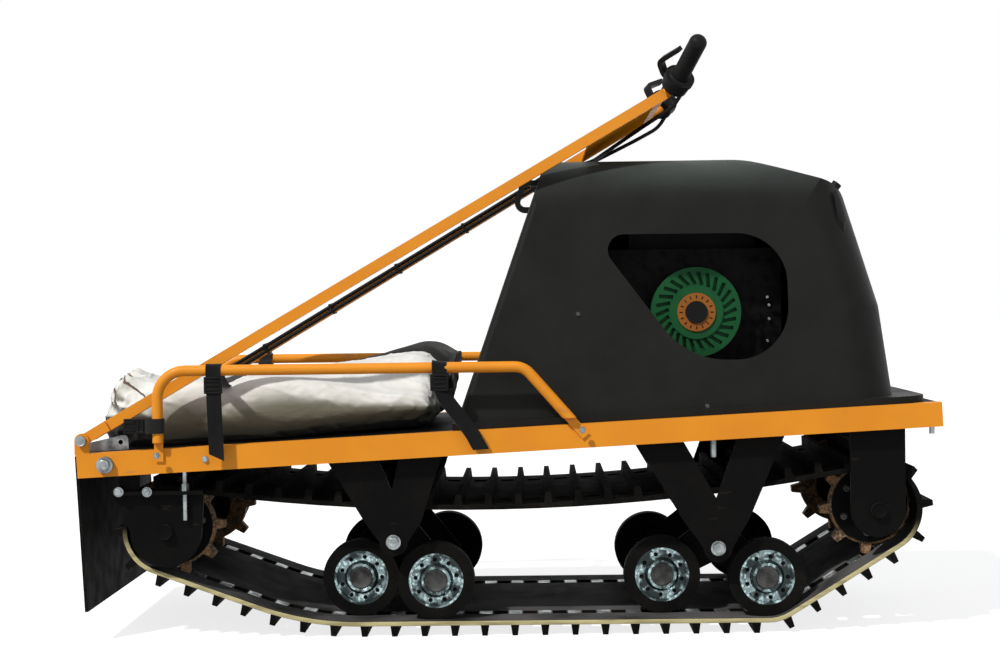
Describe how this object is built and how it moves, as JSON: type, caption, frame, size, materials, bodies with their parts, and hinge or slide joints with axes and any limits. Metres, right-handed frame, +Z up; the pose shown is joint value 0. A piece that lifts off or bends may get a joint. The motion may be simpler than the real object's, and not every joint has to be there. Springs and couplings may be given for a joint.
{
  "type": "tracked snow tug",
  "caption": "Walk-behind snow tug on one wide rubber track, with an engine hood, a railed cargo deck with its bag and a folding two-tube tiller.",
  "frame": {"origin": "on the ground under the middle of the machine's length and width", "axes": "+X forward towards the engine hood, +Y to the machine's left, +Z up"},
  "size_m": [1.4361, 0.6231, 0.9975],
  "materials": {
    "frame_orange": "gloss",
    "black_steel": "satin",
    "zinc": "satin",
    "shaft_steel": "satin",
    "sprocket_brown": "matt",
    "track_rubber": "matt",
    "wheel_rubber": "matt",
    "flap_rubber": "matt",
    "hood_plastic": "matt",
    "black_plastic": "matt",
    "starter_green": "satin",
    "starter_orange": "satin",
    "engine_metal": "matt",
    "bag_fabric": "matt",
    "strap_webbing": "matt",
    "grip_rubber": "matt"
  },
  "bodies": {
    "chassis": {"bogie_frame_front": "black_steel", "bogie_frame_rear": "black_steel", "bogie_hangers_front": "black_steel", "bogie_hangers_rear": "black_steel", "bogie_pivots": "zinc", "cargo_bag": "bag_fabric", "cargo_deck": "black_steel", "cargo_straps": "strap_webbing", "drive_axle": "shaft_steel", "drive_discs": "black_steel", "drive_sprockets": "sprocket_brown", "engine_block": "engine_metal", "engine_deck": "black_steel", "engine_hood": "hood_plastic", "frame_cross_members": "frame_orange", "frame_end_caps": "frame_orange", "frame_rail_left": "frame_orange", "frame_rail_right": "frame_orange", "frame_studs": "zinc", "front_axle_plates": "black_steel", "fuel_tank": "black_plastic", "hood_catches": "black_plastic", "hood_handle": "black_plastic", "idler_axle": "shaft_steel", "idler_discs": "black_steel", "idler_sprockets": "sprocket_brown", "mudflap": "flap_rubber", "rear_axle_plates": "black_steel", "recoil_starter": "starter_green", "side_rail_left": "frame_orange", "side_rail_right": "frame_orange", "starter_cap": "black_plastic", "starter_hub": "starter_orange", "strap_buckles": "black_plastic", "tail_stays": "zinc", "tension_rods": "zinc", "tiller_pins": "zinc", "tow_bar": "zinc", "track": "track_rubber", "wheel_axles": "shaft_steel", "wheel_rims": "zinc", "wheel_tyres": "wheel_rubber"},
    "tiller": {"tiller_tube_left": "frame_orange", "tiller_tube_right": "frame_orange", "tiller_cross_bar": "frame_orange", "tiller_console": "frame_orange", "tiller_handles": "frame_orange", "tiller_grips": "grip_rubber", "lever_clamps": "black_plastic", "control_levers": "black_plastic", "control_cables": "black_plastic"}
  },
  "joints": [
    {"name": "tiller_fold", "type": "hinge", "parent": "chassis", "child": "tiller", "pos_m": [-0.698, 0, 0.3377], "axis": [0, -1, 0], "range_deg": [0, 118]}
  ]
}
